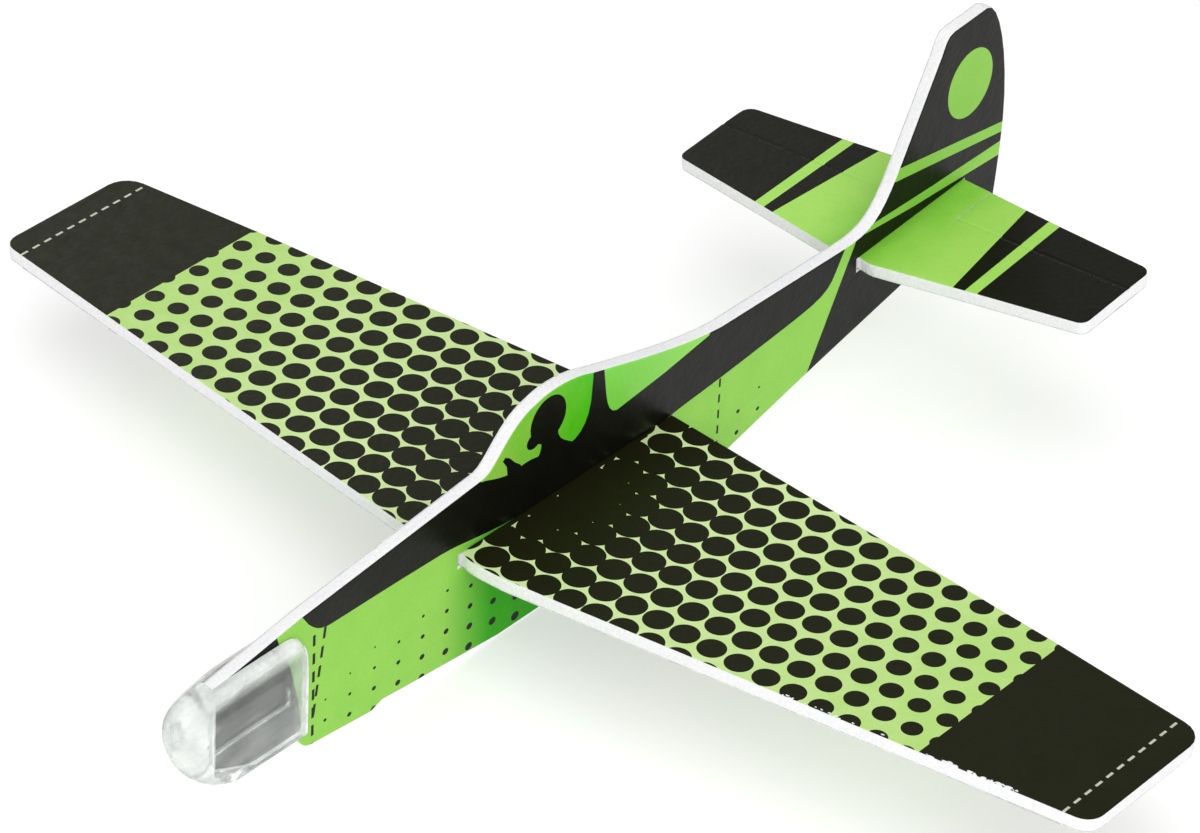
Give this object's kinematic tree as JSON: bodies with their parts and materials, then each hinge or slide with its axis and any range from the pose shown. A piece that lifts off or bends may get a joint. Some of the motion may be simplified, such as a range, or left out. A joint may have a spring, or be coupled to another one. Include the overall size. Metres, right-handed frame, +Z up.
{
  "type": "toy glider airplane",
  "caption": "Slot-together toy glider of printed sheet foam, with sliding wing and tailplane, creased elevator flaps and a pull-off clear nose cap.",
  "frame": {"origin": "below the middle of the bounding box, level with the flat belly edge that the glider stands on", "axes": "+X towards the port wing tip, +Y from nose to tail, +Z up"},
  "size_m": [0.18, 0.163, 0.0512],
  "materials": {
    "foam": "white expanded foam, fine closed beads on the cut edge",
    "fuselage_print": "satin printed film, green with black graphics",
    "wing_print": "satin printed film, green with black dots and black tips",
    "tail_print": "satin printed film, green with black tips and stripes",
    "crease": "crushed foam under printed film",
    "clear_cap": "clear glossy moulded plastic"
  },
  "bodies": {
    "fuselage": {"fuselage_core": "foam", "fuselage_print_port": "fuselage_print", "fuselage_print_starboard": "fuselage_print"},
    "wing": {"wing_core": "foam", "wing_print_top": "wing_print", "wing_print_bottom": "wing_print"},
    "tailplane": {"tailplane_core": "foam", "tailplane_print_top": "tail_print", "tailplane_print_bottom": "tail_print", "elevator_hinge_port": "crease", "elevator_hinge_starboard": "crease"},
    "elevator_port": {"elevator_port_core": "foam", "elevator_port_print_top": "tail_print", "elevator_port_print_bottom": "tail_print"},
    "elevator_starboard": {"elevator_starboard_core": "foam", "elevator_starboard_print_top": "tail_print", "elevator_starboard_print_bottom": "tail_print"},
    "nose_cap": {"nose_cap": "clear_cap"}
  },
  "joints": [
    {"name": "wing_slide", "type": "slide", "parent": "fuselage", "child": "wing", "axis": [1, 0, 0], "range_m": [-0.085, 0.085]},
    {"name": "tailplane_slide", "type": "slide", "parent": "fuselage", "child": "tailplane", "axis": [0.9983, 0, 0.0576], "range_m": [-0.0045, 0.0045]},
    {"name": "elevator_port_hinge", "type": "hinge", "parent": "tailplane", "child": "elevator_port", "pos_m": [0.02015, 0.06533, 0.02441], "axis": [0.9983, 0, 0.0576], "range_deg": [-30, 30], "deforming": ["elevator_hinge_port"]},
    {"name": "elevator_starboard_hinge", "type": "hinge", "parent": "tailplane", "child": "elevator_starboard", "pos_m": [-0.02018, 0.06533, 0.02208], "axis": [0.9983, 0, 0.0576], "range_deg": [-30, 30], "deforming": ["elevator_hinge_starboard"]},
    {"name": "nose_cap_slide", "type": "slide", "parent": "fuselage", "child": "nose_cap", "axis": [0, -1, 0], "range_m": [0, 0.0165]}
  ]
}
